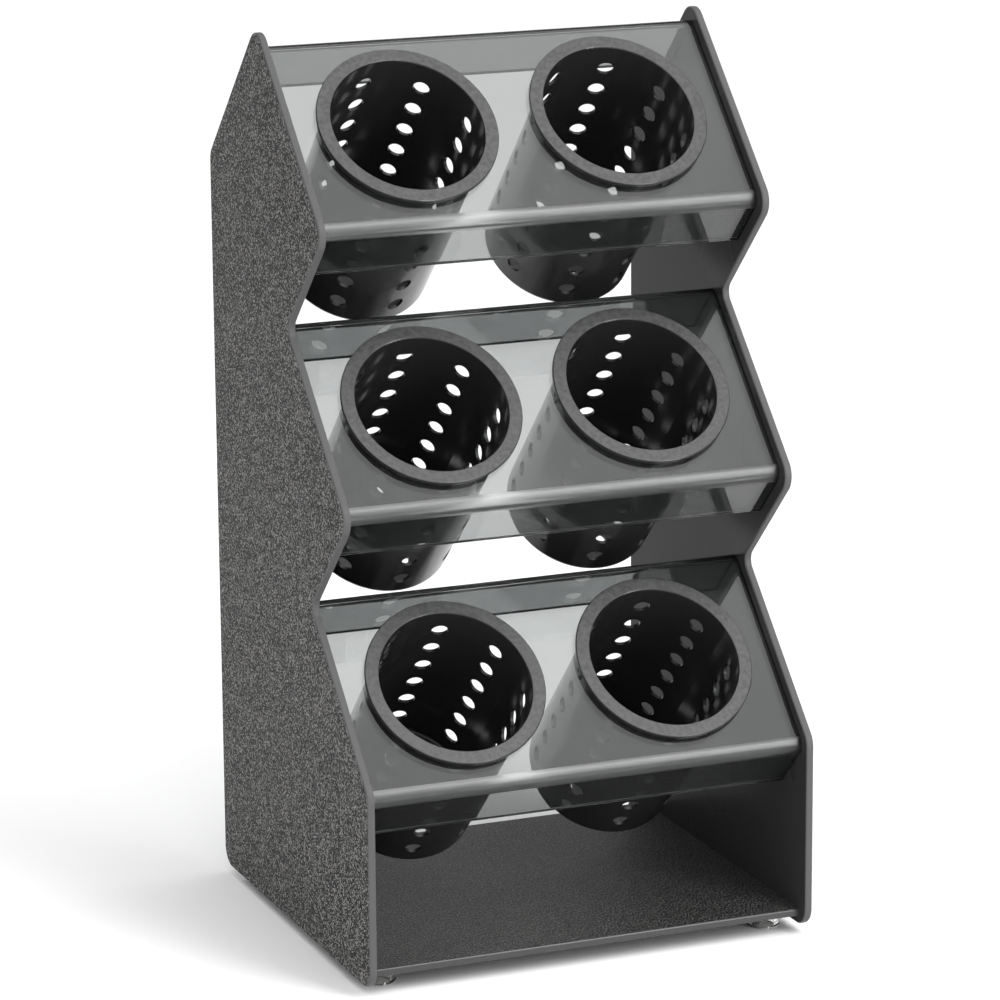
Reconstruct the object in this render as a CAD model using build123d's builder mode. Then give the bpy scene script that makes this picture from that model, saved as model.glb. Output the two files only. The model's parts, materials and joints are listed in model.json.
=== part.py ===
"""Tiered countertop organizer: two zigzag side panels, a base, three tilted smoke decks,
six lift-out perforated cylinders and four clear bumper feet.

Units are millimetres. The origin is on the surface the feet stand on, under the middle of the
stand. +Z is up and the front faces -Y.
"""
from math import cos, radians, sin, sqrt
import os

from build123d import *

# --- Overall size -------------------------------------------------------------------------------
stand_width = 295.0           # over the outer faces of the two side panels
panel_thickness = 4.8         # 3/16 in sheet, also used for the base
panel_bottom = 6.0            # the side panels stop this far above the table
panel_edge_radius = 1.1       # rounding along every long edge of the panels and the base

# --- Side panel outline: every slope is at 45 degrees, so one number is both its run and its drop ---
back_height = 470.0           # straight rear edge
back_slope_run = 92.0         # from the rear edge forward and up to the peak
upper_slope_run = 113.8       # from the peak forward and down to the upper nose
tier_slope_run = 100.5        # the slope of the middle tier
return_run = 65.5             # from a nose back and down to the crook below it
lower_slope_run = 94.1        # the lowest slope, cut short by the vertical front edge
corner_radius = 12.7
crook_radius = 7.5

# --- Tiers --------------------------------------------------------------------------------------
tilt = 45.0                   # every deck leans back by this angle, in degrees
tier_forward = tier_slope_run - return_run
tier_drop = tier_slope_run + return_run
rim_from_nose = 80.7          # cylinder axis, measured up the slope from the nose
rim_inset = 2.5               # rim top, measured down from the panel's sloping edge
cylinder_spacing = 139.2      # between the two cylinder axes of one deck

# --- Cylinders ----------------------------------------------------------------------------------
cylinder_length = 142.0
rim_radius = 57.15            # 4 1/2 in across the rim
rim_flange = 2.5
collar_radius = 56.6
collar_height = 4.0
collar_wall = 2.2
body_top_radius = 50.2
body_bottom_radius = 48.6
body_wall = 1.9
floor_thickness = 2.2
floor_corner_radius = 3.0
perforation_radius = 5.25
perforation_pitch = 20.8
perforation_rows = 6
perforation_columns = 8
first_row_depth = 20.5        # centre of the first row below the rim top
drain_radius = 4.0
drain_ring_radius = 28.0
drill_reach = body_top_radius + 3   # from the axis to outside the wall

# --- Decks --------------------------------------------------------------------------------------
seat_gap = 0.3                # collar to deck, left open because the two parts only rest together
deck_thickness = 4.5
deck_depth = collar_height + seat_gap      # deck top below the rim top
deck_bend_radius = 8.0        # outside of the two bends
lip_offset = 72.6             # outer face of the front lip, from the cylinder axis
lip_depth = 46.5              # bottom of the front lip below the rim top
flange_offset = 72.0          # outer face of the rear flange, from the cylinder axis
flange_depth = 48.9
deck_hole_radius = 50.8       # 4 in hole
deck_edge_radius = 0.5

# --- Base and feet ------------------------------------------------------------------------------
base_bottom = 11.6
base_front_inset = 8.4        # base edge behind the panels' front edge
base_rear_inset = 22.0
foot_radius = 10.5
foot_edge_radius = 2.0
foot_recess_radius = 6.9
foot_recess_depth = 6.5
foot_from_side = 18.0         # foot axis in from the outer face of the side panel
foot_from_base_edge = 24.6    # foot axis in from the base's front or rear edge
disc_radius = 9.5
disc_thickness = 0.8

# --- Worked out from the sizes above --------------------------------------------------------------
stand_depth = back_slope_run + upper_slope_run + tier_slope_run + lower_slope_run - 2 * return_run
rear_y = stand_depth / 2
front_y = -stand_depth / 2
inner_width = stand_width - 2 * panel_thickness
back_corner_z = panel_bottom + back_height
peak_y = rear_y - back_slope_run
peak_z = back_corner_z + back_slope_run
upper_nose_y = peak_y - upper_slope_run
upper_nose_z = peak_z - upper_slope_run
lean = Vector(0, -sin(radians(tilt)), cos(radians(tilt)))      # cylinder axis, out of the deck
down_slope = Vector(0, -cos(radians(tilt)), -sin(radians(tilt)))

tier_names = ["upper", "middle", "lower"]
side_names = {"left": -1, "right": 1}
# Degrees that each cylinder's pattern of holes is turned about its own axis, left then right.
hole_turns = {"upper": (13, 31), "middle": (44, 35), "lower": (35, 38)}

os.makedirs("parts", exist_ok=True)


def seat_centre(tier, x):
    """Centre of a cylinder's rim top on the given tier, counted from 0 at the top."""
    along = rim_from_nose / sqrt(2)
    inward = rim_inset / sqrt(2)
    return Vector(
        x,
        upper_nose_y - tier * tier_forward + along + inward,
        upper_nose_z - tier * tier_drop + along - inward,
    )


# --- Side panels ----------------------------------------------------------------------------------
nose_step = (tier_forward, tier_drop)
outline = [
    (rear_y, panel_bottom),
    (rear_y, back_corner_z),
    (peak_y, peak_z),
    (upper_nose_y, upper_nose_z),
    (upper_nose_y + return_run, upper_nose_z - return_run),
    (upper_nose_y - tier_forward, upper_nose_z - tier_drop),
    (upper_nose_y - tier_forward + return_run, upper_nose_z - tier_drop - return_run),
    (front_y, upper_nose_z - tier_drop - return_run - lower_slope_run),
    (front_y, panel_bottom),
]
outline_radii = [corner_radius] * 4 + [crook_radius, corner_radius, crook_radius] + [corner_radius] * 2

for side, sign in side_names.items():
    inner_face = sign * inner_width / 2
    with BuildPart() as side_panel:
        with BuildSketch(Plane.YZ.offset(inner_face)):
            with BuildLine():
                FilletPolyline(*outline, radius=outline_radii, close=True)
            make_face()
        extrude(amount=sign * panel_thickness)
        fillet(side_panel.faces().filter_by(Axis.X).edges(), radius=panel_edge_radius)
    side_panel.part.label = f"{side}_side_panel"
    export_step(side_panel.part, f"parts/{side}_side_panel.step")

# --- Base -----------------------------------------------------------------------------------------
base_front_y = front_y + base_front_inset
base_rear_y = rear_y - base_rear_inset
with BuildPart() as base_panel:
    with BuildSketch(Plane.XY.offset(base_bottom)):
        with Locations((0, (base_front_y + base_rear_y) / 2)):
            Rectangle(inner_width, base_rear_y - base_front_y)
    extrude(amount=panel_thickness)
    fillet(base_panel.edges().filter_by(Axis.X), radius=panel_edge_radius)
base_panel.part.label = "base_panel"
export_step(base_panel.part, "parts/base_panel.step")

# --- Decks: one bent sheet per tier, with a hole under each cylinder ------------------------------
for tier, tier_name in enumerate(tier_names):
    deck_centre = seat_centre(tier, 0)
    # In this plane x runs down the slope and y runs out of the deck, both from the rim centre.
    section_plane = Plane(origin=deck_centre, x_dir=down_slope, z_dir=(-1, 0, 0))
    hole_plane = Plane(origin=deck_centre, x_dir=(1, 0, 0), z_dir=lean)
    with BuildPart() as deck:
        with BuildSketch(section_plane):
            with BuildLine():
                top_side = FilletPolyline(
                    (-flange_offset, -flange_depth),
                    (-flange_offset, -deck_depth),
                    (lip_offset, -deck_depth),
                    (lip_offset, -lip_depth),
                    radius=deck_bend_radius,
                )
                offset(top_side, amount=deck_thickness, side=Side.RIGHT)
            make_face()
        extrude(amount=inner_width / 2, both=True)
        sheet_ends = deck.faces().filter_by(lambda face: abs(face.normal_at().dot(lean) + 1) < 1e-6)
        leg_ends = sheet_ends.sort_by(SortBy.AREA)[:2]
        fillet(leg_ends.edges().filter_by(Axis.X), radius=deck_edge_radius)
        with BuildSketch(hole_plane):
            with GridLocations(cylinder_spacing, 0, 2, 1):
                Circle(deck_hole_radius)
        extrude(amount=-(deck_depth + deck_thickness + 1), mode=Mode.SUBTRACT)
    deck.part.label = f"{tier_name}_deck"
    export_step(deck.part, f"parts/{tier_name}_deck.step")

# --- Cylinders: one moulding, six times -------------------------------------------------------------
body_outline = [
    (0, -cylinder_length),
    (body_bottom_radius, -cylinder_length),
    (body_top_radius, -rim_flange),
    (collar_radius - collar_wall, -rim_flange),
    (collar_radius - collar_wall, -collar_height),
    (collar_radius, -collar_height),
    (collar_radius, -rim_flange),
    (rim_radius, -rim_flange),
    (rim_radius, 0),
    (body_top_radius - body_wall, 0),
    (body_top_radius - body_wall, -collar_height),
    (body_bottom_radius - body_wall, floor_thickness - cylinder_length),
    (0, floor_thickness - cylinder_length),
]
body_radii = [0, floor_corner_radius, 0, 0, 0.4, 0.4, 0, 0.5, 0.7, 0.7, 0, floor_corner_radius - 1, 0]

# The moulding is made upright about the Z axis, with the middle of its rim top at the origin.
middle_row = first_row_depth + perforation_pitch * (perforation_rows - 1) / 2
with BuildPart() as moulding:
    with BuildSketch(Plane.XZ):
        with BuildLine():
            FilletPolyline(*body_outline, radius=body_radii, close=True)
        make_face()
    revolve(axis=Axis.Z)
    # Each straight run of holes goes through both walls, so half the columns make them all.
    for column in range(perforation_columns // 2):
        across = Vector(1, 0, 0).rotate(Axis.Z, 360 * (column + 0.5) / perforation_columns)
        with BuildSketch(Plane(origin=(0, 0, -middle_row), x_dir=(0, 0, 1), z_dir=across)):
            with GridLocations(perforation_pitch, 0, perforation_rows, 1):
                Circle(perforation_radius)
        extrude(amount=drill_reach, both=True, mode=Mode.SUBTRACT)
    with BuildSketch(Plane.XY.offset(-cylinder_length)):
        with PolarLocations(drain_ring_radius, perforation_columns):
            Circle(drain_radius)
    extrude(amount=floor_thickness, mode=Mode.SUBTRACT)

first_column_turn = 180 / perforation_columns
for tier, tier_name in enumerate(tier_names):
    for (side, sign), turn in zip(side_names.items(), hole_turns[tier_name]):
        rim_centre = seat_centre(tier, sign * cylinder_spacing / 2)
        turned = Vector(1, 0, 0).rotate(Axis((0, 0, 0), lean), turn - first_column_turn)
        with BuildPart(Plane(origin=rim_centre, x_dir=turned, z_dir=lean)) as cylinder:
            add(moulding.part)
        cylinder.part.label = f"{tier_name}_{side}_cylinder"
        export_step(cylinder.part, f"parts/{tier_name}_{side}_cylinder.step")

# --- Feet and their adhesive discs ------------------------------------------------------------------
foot_x = stand_width / 2 - foot_from_side
foot_rows = {"front": base_front_y + foot_from_base_edge, "rear": base_rear_y - foot_from_base_edge}
foot_height = base_bottom - disc_thickness

for row, foot_y in foot_rows.items():
    for side, sign in side_names.items():
        name = f"{row}_{side}_foot"
        with BuildPart() as foot:
            with BuildSketch():
                with Locations((sign * foot_x, foot_y)):
                    Circle(foot_radius)
            extrude(amount=foot_height)
            fillet(foot.edges().group_by(Axis.Z)[0], radius=foot_edge_radius)
            with BuildSketch():
                with Locations((sign * foot_x, foot_y)):
                    Circle(foot_recess_radius)
            extrude(amount=foot_recess_depth, mode=Mode.SUBTRACT)
        foot.part.label = name
        export_step(foot.part, f"parts/{name}.step")

        with BuildPart() as disc:
            with BuildSketch(Plane.XY.offset(foot_height)):
                with Locations((sign * foot_x, foot_y)):
                    Circle(disc_radius)
            extrude(amount=disc_thickness)
        disc.part.label = f"{name}_disc"
        export_step(disc.part, f"parts/{name}_disc.step")
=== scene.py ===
"""Looks, light and camera for the tiered cylinder organizer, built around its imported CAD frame."""
import json
import math

import bpy
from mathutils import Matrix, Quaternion, Vector


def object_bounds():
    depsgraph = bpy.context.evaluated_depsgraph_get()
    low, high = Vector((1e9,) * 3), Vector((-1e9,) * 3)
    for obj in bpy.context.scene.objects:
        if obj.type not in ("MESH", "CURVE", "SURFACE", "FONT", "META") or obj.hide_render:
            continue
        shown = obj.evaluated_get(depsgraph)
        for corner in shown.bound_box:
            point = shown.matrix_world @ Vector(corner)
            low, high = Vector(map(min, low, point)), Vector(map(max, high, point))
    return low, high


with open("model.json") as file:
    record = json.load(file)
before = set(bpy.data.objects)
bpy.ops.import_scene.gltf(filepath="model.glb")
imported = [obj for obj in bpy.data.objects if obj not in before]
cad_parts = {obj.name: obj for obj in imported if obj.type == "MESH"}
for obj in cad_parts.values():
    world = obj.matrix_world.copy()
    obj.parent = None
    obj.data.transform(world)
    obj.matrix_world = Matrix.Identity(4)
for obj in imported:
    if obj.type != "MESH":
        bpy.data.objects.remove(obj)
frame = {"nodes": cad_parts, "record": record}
cad_low, cad_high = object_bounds()
nodes = frame["nodes"]

# The camera stands to the left of the front and looks slightly down. Angles are in degrees, and
# lengths are in metres unless a name says otherwise.
CAMERA_AZIMUTH = -22.19
CAMERA_ELEVATION = 13.81
CAMERA_ROLL = -0.39
CAMERA_DISTANCE = 2.7487
CAMERA_LENS_MM = 158.2
CAMERA_SENSOR_MM = 36.0
CAMERA_FAR_LIMIT = 100
CAMERA_AIM_OFFSET = Vector((-0.0070, -0.0017, -0.0146))   # from the middle of the CAD box

# The decks and the cylinders' rims face along this direction.
LEAN = Vector((0, -math.sqrt(0.5), math.sqrt(0.5)))

# The rims of each tier lie in one plane; the planes are evenly spaced along LEAN.
mouths = {mount["name"]: Vector(mount["pos_m"]) for mount in frame["record"]["mounts"]}
MOUTH_DEPTH = 0.00235     # the mouth mounts sit this far below the rim plane
RIM_PLANE = mouths["mouth_upper_left"].dot(LEAN) + MOUTH_DEPTH
TIER_PITCH = (mouths["mouth_upper_left"] - mouths["mouth_middle_left"]).dot(LEAN)


# --- Node helpers ---------------------------------------------------------------------------------
class Tree:
    """A material's or world's nodes, with short ways to add and join them."""

    def __init__(self, owner):
        owner.use_nodes = True
        self.nodes = owner.node_tree.nodes
        self.links = owner.node_tree.links
        self.nodes.clear()

    def add(self, kind, **inputs):
        """A new node. Each keyword names an input socket, with _ for a space."""
        node = self.nodes.new("ShaderNode" + kind)
        for name, value in inputs.items():
            self.put(node.inputs[name.replace("_", " ")], value)
        return node

    def put(self, socket, value):
        """Link an output socket to the input, or set a plain value on it."""
        if isinstance(value, bpy.types.NodeSocket):
            self.links.new(value, socket)
        else:
            socket.default_value = value

    def math(self, operation, *values):
        node = self.nodes.new("ShaderNodeMath")
        node.operation = operation
        for socket, value in zip(node.inputs, values):
            self.put(socket, value)
        return node.outputs[0]

    def smooth(self, value, low, high):
        """0 up to low, 1 from high on, with a smooth step between."""
        node = self.nodes.new("ShaderNodeMapRange")
        node.interpolation_type = "SMOOTHSTEP"
        for socket, number in zip(node.inputs, (value, low, high, 0.0, 1.0)):
            self.put(socket, number)
        return node.outputs[0]

    def mix(self, factor, first, second):
        """A number between first, at factor 0, and second, at factor 1."""
        node = self.nodes.new("ShaderNodeMix")
        for place, value in ((0, factor), (2, first), (3, second)):
            self.put(node.inputs[place], value)
        return node.outputs[0]

    def mix_colour(self, factor, first, second):
        node = self.nodes.new("ShaderNodeMix")
        node.data_type = "RGBA"
        for place, value in ((0, factor), (6, first), (7, second)):
            self.put(node.inputs[place], value)
        return node.outputs[2]

    def dot(self, socket, direction):
        node = self.nodes.new("ShaderNodeVectorMath")
        node.operation = "DOT_PRODUCT"
        self.put(node.inputs[0], socket)
        self.put(node.inputs[1], tuple(direction))
        return node.outputs["Value"]

    def facing(self, direction, low=0.97, high=0.995, either_way=False):
        """1 where the surface faces the direction, or with either_way its opposite, else 0.

        low and high are cosines of the angle between them, where the mask starts and is full.
        """
        along = self.dot(self.add("NewGeometry").outputs["Normal"], direction)
        if either_way:
            along = self.math("ABSOLUTE", along)
        return self.smooth(along, low, high)

    def vary(self, base, noise, amount):
        """The base, plus the noise times the amount."""
        return self.math("ADD", base, self.math("MULTIPLY", noise, amount))

    def noise(self, scale, detail=2.0, roughness=0.5, stretch=None):
        """Noise fixed to the object, with features of about 1/scale metres."""
        place = self.add("TexCoord").outputs["Object"]
        if stretch is not None:
            place = self.add("Mapping", Vector=place, Scale=stretch).outputs["Vector"]
        texture = self.add("TexNoise", Vector=place, Scale=scale, Detail=detail,
                           Roughness=roughness)
        return texture.outputs["Fac"]

    def finish(self, shader):
        is_world = isinstance(self.nodes.id_data, bpy.types.World)
        self.add("OutputWorld" if is_world else "OutputMaterial", Surface=shader)


def new_material(name):
    material = bpy.data.materials.new(name)
    return material, Tree(material)


def grey(value, tint=(1.0, 1.0, 1.0)):
    return tuple(value * channel for channel in tint) + (1.0,)


# --- Black textured sheet: side panels and base ---------------------------------------------------
# A greater stretch number makes finer grain along that axis.
PANEL_STRETCH = (1, 0.75, 1)
KEY_SIDE_STRETCH = (1, 0.9, 1)
BASE_STRETCH = (1, 0.6, 1)
LEFT_PANEL_GRAIN_PAINTED_LIGHT = 0.21        # how light the haircell grain's specks are; on the left panel they are painted lighter, as painted light for the key light it lacks
KEY_SIDE_GRAIN_PAINTED_SHADE = 0.13     # the same, on the panel that the key light falls on, painted darker as painted shade against that light
BASE_GRAIN = 0.11
PANEL_EDGE = 0.085        # how light the cut edges are
BASE_EDGE = 0.040
PANEL_GLOSS = 0.07        # specular level
BASE_GLOSS = 0.40
SHEET_BACK = 0.030        # how light the smooth back is
GRAIN_SCALE = 980
GRAIN_PATCH_SCALE = 150
GRAIN_PATCH_SHARE = 0.06
GRAIN_GAP = 0.001         # how light the sheet is between the specks
SPECK_FROM, SPECK_TO = 0.515, 0.58
GRAIN_HEIGHT = 0.0012
WEAR_SCALE = 9
PLAIN_ROUGH, PLAIN_ROUGH_WEAR = 0.22, 0.10
GRAIN_ROUGH, GRAIN_ROUGH_WEAR = 0.40, 0.08
WARM = (1.02, 1.0, 0.97)


def textured_sheet(name, direction, stretch, light, gloss, edge):
    """Haircell grain on the side that looks along direction, a smooth dark back, satin edges."""
    material, tree = new_material(name)
    grained = tree.facing(direction)
    back = tree.facing([-part for part in direction])
    fine = tree.noise(GRAIN_SCALE, roughness=0.65, stretch=stretch)
    patchy = tree.noise(GRAIN_PATCH_SCALE, stretch=stretch)
    grain = tree.math("ADD", tree.math("MULTIPLY", fine, 1 - GRAIN_PATCH_SHARE),
                      tree.math("MULTIPLY", patchy, GRAIN_PATCH_SHARE))
    wear = tree.noise(WEAR_SCALE, detail=3.0)
    bump = tree.add("Bump", Height=tree.math("MULTIPLY", grain, grained), Strength=1.0,
                    Distance=GRAIN_HEIGHT)
    specks = tree.mix_colour(tree.smooth(grain, SPECK_FROM, SPECK_TO), grey(GRAIN_GAP),
                             grey(light, WARM))
    plain = tree.mix_colour(back, grey(edge), grey(SHEET_BACK))
    plain_rough = tree.vary(PLAIN_ROUGH, wear, PLAIN_ROUGH_WEAR)
    grain_rough = tree.vary(GRAIN_ROUGH, wear, GRAIN_ROUGH_WEAR)
    shader = tree.add("BsdfPrincipled", Base_Color=tree.mix_colour(grained, plain, specks),
                      Roughness=tree.mix(grained, plain_rough, grain_rough),
                      Specular_IOR_Level=gloss, Normal=bump.outputs["Normal"])
    tree.finish(shader.outputs[0])
    return material


# --- Smoke acrylic: decks -------------------------------------------------------------------------
ACRYLIC_TINT = 0.43       # share of light that one sheet lets through
ACRYLIC_SHADOW = 0.74     # share of light that one face lets into its shadow
ACRYLIC_CLEAR = 0.985     # the rest is haze from fine scuffs
ACRYLIC_HUE = (0.97, 1.0, 0.995)
ACRYLIC_IOR = 1.49
SAWN_FROM, SAWN_TO = 0.0440, 0.0455      # depth below the rim plane of the sheet's sawn ends
SAWN_MASK = (0.25, 0.60)
# Painted shade: the sawn ends are coloured near black and let no light through.
SAWN_END_PAINTED_SHADE = 0.008
SAWN_ROUGH = 0.25
FRONT_BEND = Vector((0, -1, 0))          # the way the middle of a deck's front bend faces
FRONT_BEND_MASK = (0.714, 0.765)
FRONT_BEND_ROUGH = 0.28
REAR_CROWN = Vector((0, 0.17, 0.985))    # the top of its rear bend, where it is seen edge on; a dark line is painted there as shade
REAR_CROWN_MASK = (0.950, 0.970)
# Painted shade: the near-black colour of the dark line along the rear crown.
REAR_CROWN_PAINTED_SHADE = 0.03
SMUDGE_SCALE = 35
SMUDGE_ROUGH = 0.008


def smoke_acrylic():
    """Polished smoke-grey sheet with a satin front bend, and painted shade: a dark line on the rear
    crown and near-black, opaque sawn ends.

    Light reaches through it, tinted, to what lies behind.
    """
    material, tree = new_material("smoke_acrylic")
    along_lean = tree.dot(tree.add("TexCoord").outputs["Object"], LEAN)
    # The remainder makes it the depth below the rim plane of the deck's own tier.
    depth = tree.math("FLOORED_MODULO", tree.math("SUBTRACT", RIM_PLANE, along_lean), TIER_PITCH)
    sheet_end = tree.facing(LEAN, *SAWN_MASK, either_way=True)
    sawn = tree.math("MULTIPLY", tree.smooth(depth, SAWN_FROM, SAWN_TO), sheet_end)
    crown = tree.facing(REAR_CROWN, *REAR_CROWN_MASK, either_way=True)
    bend = tree.facing(FRONT_BEND, *FRONT_BEND_MASK, either_way=True)
    # Painted shade: the rear crown's dark line, then the sawn ends' near-black colour.
    sheet = tree.mix_colour(crown, grey(ACRYLIC_TINT, ACRYLIC_HUE), grey(REAR_CROWN_PAINTED_SHADE))
    colour = tree.mix_colour(sawn, sheet, grey(SAWN_END_PAINTED_SHADE))
    smudge = tree.math("MULTIPLY", tree.noise(SMUDGE_SCALE), SMUDGE_ROUGH)
    rough = tree.math("ADD", tree.math("MULTIPLY", sawn, SAWN_ROUGH), smudge)
    rough = tree.math("ADD", rough, tree.math("MULTIPLY", bend, FRONT_BEND_ROUGH))
    # No light passes the sawn ends, as part of their painted shade.
    clear = tree.math("MULTIPLY", tree.math("SUBTRACT", 1.0, sawn), ACRYLIC_CLEAR)
    glass = tree.add("BsdfPrincipled", Base_Color=colour, Roughness=rough, IOR=ACRYLIC_IOR,
                     Transmission_Weight=clear)
    shade = tree.add("BsdfTransparent", Color=grey(ACRYLIC_SHADOW, ACRYLIC_HUE))
    choice = tree.add("MixShader", Fac=tree.add("LightPath").outputs["Is Shadow Ray"])
    tree.put(choice.inputs[1], glass.outputs[0])
    tree.put(choice.inputs[2], shade.outputs[0])
    tree.finish(choice.outputs[0])
    return material


# --- Black moulding: cylinders --------------------------------------------------------------------
WALL_GREY = 0.020
RIM_MASK = (0.80, 0.97)
RIM_DARKEST, RIM_LIGHTEST = 0.016, 0.048
MOTTLE_SCALE = 330
MOTTLE_FROM, MOTTLE_TO = 0.30, 0.70
MOTTLE_HEIGHT = 0.25      # as a share of the height of the moulding's flow marks
FLOW_SCALE = 30
FLOW_HEIGHT = 0.0003
WALL_ROUGH, WALL_ROUGH_FLOW = 0.13, 0.06
RIM_ROUGH, RIM_ROUGH_MOTTLE = 0.36, 0.14


def black_moulding():
    """Glossy black moulded plastic whose rim top has a satin, slightly mottled finish."""
    material, tree = new_material("black_moulding")
    rim = tree.facing(LEAN, *RIM_MASK)
    mottle = tree.smooth(tree.noise(MOTTLE_SCALE, detail=4.0, roughness=0.6),
                         MOTTLE_FROM, MOTTLE_TO)
    flow = tree.noise(FLOW_SCALE)
    rim_colour = tree.mix_colour(mottle, grey(RIM_DARKEST), grey(RIM_LIGHTEST))
    colour = tree.mix_colour(rim, grey(WALL_GREY), rim_colour)
    gloss_rough = tree.vary(WALL_ROUGH, flow, WALL_ROUGH_FLOW)
    rim_rough = tree.vary(RIM_ROUGH, mottle, RIM_ROUGH_MOTTLE)
    rim_grain = tree.math("MULTIPLY", tree.math("MULTIPLY", mottle, rim), MOTTLE_HEIGHT)
    bump = tree.add("Bump", Height=tree.math("ADD", rim_grain, flow), Strength=0.18,
                    Distance=FLOW_HEIGHT)
    shader = tree.add("BsdfPrincipled", Base_Color=colour, Normal=bump.outputs["Normal"],
                      Roughness=tree.mix(rim, gloss_rough, rim_rough))
    tree.finish(shader.outputs[0])
    return material


# --- Clear feet and their adhesive ----------------------------------------------------------------
BUMPER_TINT = (1.0, 1.0, 0.985)


def clear_bumper():
    """Clear soft plastic with a faint ripple."""
    material, tree = new_material("clear_bumper")
    ripple = tree.add("Bump", Height=tree.noise(scale=160, detail=1.0), Strength=0.15,
                      Distance=0.0003)
    glass = tree.add("BsdfPrincipled", Base_Color=grey(0.93, BUMPER_TINT), Roughness=0.03,
                     IOR=1.5, Transmission_Weight=1.0, Normal=ripple.outputs["Normal"])
    tree.finish(glass.outputs[0])
    return material


def adhesive():
    """Thin, slightly cloudy adhesive layer."""
    material, tree = new_material("foot_adhesive")
    rough = tree.vary(base=0.30, noise=tree.noise(scale=240), amount=0.2)
    shader = tree.add("BsdfPrincipled", Base_Color=grey(0.72), Roughness=rough, IOR=1.47,
                      Transmission_Weight=0.6)
    tree.finish(shader.outputs[0])
    return material


# --- Which piece wears what -----------------------------------------------------------------------
def dress(object_names, material):
    for name in object_names:
        slots = nodes[name].material_slots
        for slot in slots:
            slot.material = material
        if not slots:
            nodes[name].data.materials.append(material)


slot_of = {part["node"]: part["material_slot"] for part in frame["record"]["subparts"]}


def in_slot(slot):
    return sorted(name for name, used in slot_of.items() if used == slot)


# One sheet in two copies: the left panel's specks carry painted light and the right panel's carry
# painted shade.
dress(["left_side_panel"], textured_sheet(
    "left_panel_sheet_painted_light", (-1, 0, 0), PANEL_STRETCH, LEFT_PANEL_GRAIN_PAINTED_LIGHT, PANEL_GLOSS, PANEL_EDGE))
dress(["right_side_panel"], textured_sheet(
    "right_panel_sheet_painted_shade", (1, 0, 0), KEY_SIDE_STRETCH, KEY_SIDE_GRAIN_PAINTED_SHADE, PANEL_GLOSS, PANEL_EDGE))
dress(["base_panel"], textured_sheet(
    "base_sheet", (0, 0, 1), BASE_STRETCH, BASE_GRAIN, BASE_GLOSS, BASE_EDGE))
dress(in_slot("smoke_acrylic"), smoke_acrylic())
dress(in_slot("black_moulding"), black_moulding())
dress(in_slot("clear_bumper"), clear_bumper())
dress(in_slot("foot_adhesive"), adhesive())


# --- Floor, light and camera ----------------------------------------------------------------------
FLOOR_HALF_SIZE = 30.0
FLOOR_GREY = 0.84
ROOM_LIGHT = 0.75
ROOM_DARK = 0.12              # behind the object, for what the polished decks reflect
DARK_BEHIND = (-0.15, 0.45)   # y of a direction into the room, where the dark starts and is full
DARK_ABOVE = (0.30, 0.46)     # its z, in the same way


def add_to_scene(thing):
    bpy.context.scene.collection.objects.link(thing)


def add_floor():
    half = FLOOR_HALF_SIZE
    mesh = bpy.data.meshes.new("floor")
    mesh.from_pydata([(-half, -half, 0), (half, -half, 0), (half, half, 0), (-half, half, 0)], [],
                     [(0, 1, 2, 3)])
    floor = bpy.data.objects.new("floor", mesh)
    add_to_scene(floor)
    material, tree = new_material("pale_floor")
    shader = tree.add("BsdfPrincipled", Base_Color=grey(FLOOR_GREY), Roughness=0.9,
                      Specular_IOR_Level=0.1)
    tree.finish(shader.outputs[0])
    mesh.materials.append(material)


def add_sun(name, direction, strength, width_degrees):
    """A far, wide, soft light that shines from the given direction."""
    light = bpy.data.lights.new(name, "SUN")
    light.energy = strength
    light.angle = math.radians(width_degrees)
    sun = bpy.data.objects.new(name, light)
    sun.rotation_mode = "QUATERNION"
    sun.rotation_quaternion = Vector(direction).to_track_quat("Z", "Y")
    add_to_scene(sun)


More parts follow.
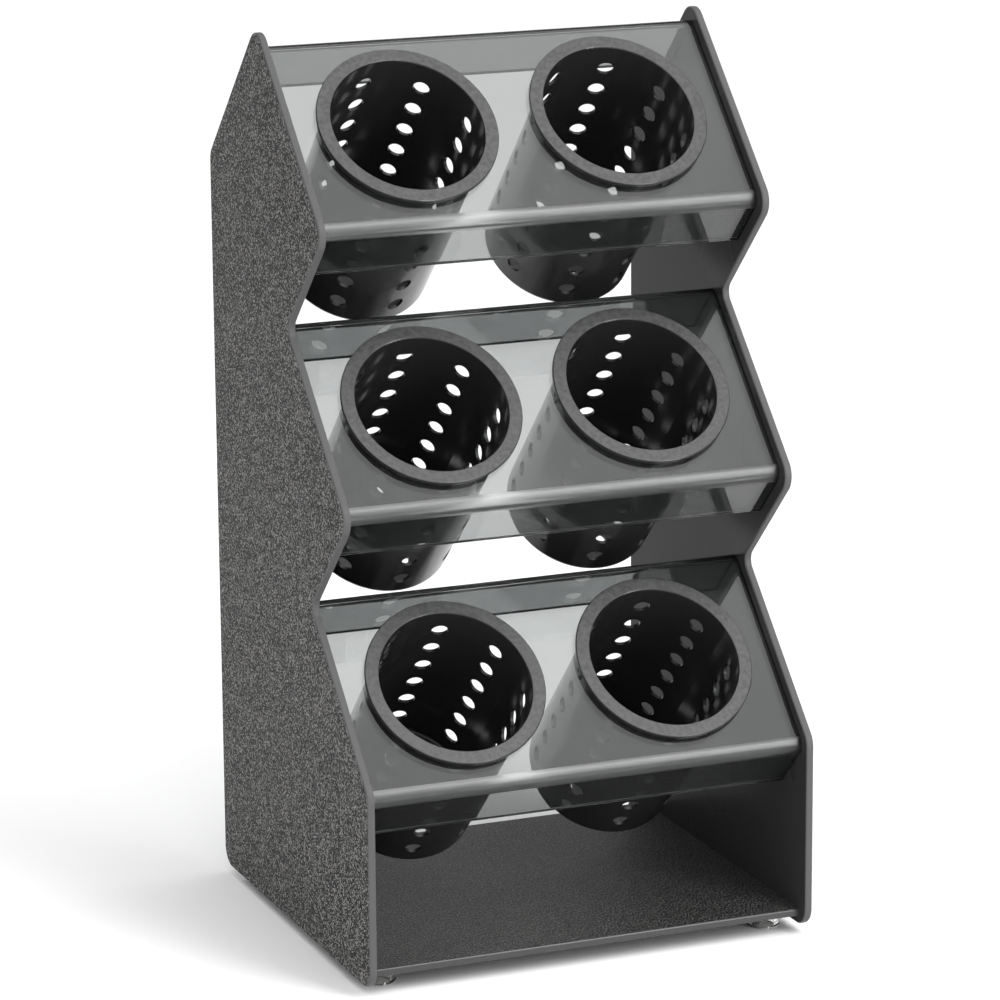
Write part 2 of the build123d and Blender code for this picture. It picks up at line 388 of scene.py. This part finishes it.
def add_softbox(name, centre, aim, width, height, radiance):
    """A rectangular soft light of even brightness, facing the aim point."""
    light = bpy.data.lights.new(name, "AREA")
    light.shape = "RECTANGLE"
    light.size = width
    light.size_y = height
    light.energy = radiance * math.pi * width * height
    box = bpy.data.objects.new(name, light)
    box.location = centre
    box.rotation_mode = "QUATERNION"
    box.rotation_quaternion = (Vector(centre) - Vector(aim)).to_track_quat("Z", "Y")
    box.visible_camera = False
    add_to_scene(box)


def add_world():
    """An even soft room that is dark behind the object, well above the level of the floor."""
    world = bpy.data.worlds.new("studio")
    bpy.context.scene.world = world
    tree = Tree(world)
    place = tree.add("SeparateXYZ", Vector=tree.add("TexCoord").outputs["Generated"])
    behind = tree.smooth(place.outputs["Y"], *DARK_BEHIND)
    above = tree.smooth(place.outputs["Z"], *DARK_ABOVE)
    dimming = tree.math("MULTIPLY", tree.math("MULTIPLY", behind, above), ROOM_LIGHT - ROOM_DARK)
    background = tree.add("Background", Color=grey(1.0),
                          Strength=tree.math("SUBTRACT", ROOM_LIGHT, dimming))
    tree.finish(background.outputs[0])


def add_camera():
    azimuth, elevation = math.radians(CAMERA_AZIMUTH), math.radians(CAMERA_ELEVATION)
    back = Vector((
        math.sin(azimuth) * math.cos(elevation),
        -math.cos(azimuth) * math.cos(elevation),
        math.sin(elevation),
    ))
    data = bpy.data.cameras.new("camera")
    data.lens = CAMERA_LENS_MM
    data.sensor_width = CAMERA_SENSOR_MM
    data.clip_end = CAMERA_FAR_LIMIT
    camera = bpy.data.objects.new("camera", data)
    camera.location = (cad_low + cad_high) / 2 + CAMERA_AIM_OFFSET + back * CAMERA_DISTANCE
    camera.rotation_mode = "QUATERNION"
    roll = Quaternion((0, 0, 1), math.radians(CAMERA_ROLL))
    camera.rotation_quaternion = (-back).to_track_quat("-Z", "Y") @ roll
    add_to_scene(camera)
    bpy.context.scene.camera = camera


add_floor()
add_sun("overhead_softbox", direction=(0.14, -0.22, 0.96), strength=2.4, width_degrees=90)
add_softbox("front_softbox", centre=(0.86, -1.77, 1.35), aim=(0, 0, 0.35), width=0.70, height=3.00,
            radiance=7.5)
add_softbox("left_fill", centre=(-0.70, -0.15, 0.06), aim=(-0.15, -0.02, 0.10), width=0.50,
            height=0.25, radiance=4.0)
add_world()
add_camera()
bpy.context.scene.view_settings.view_transform = "Standard"
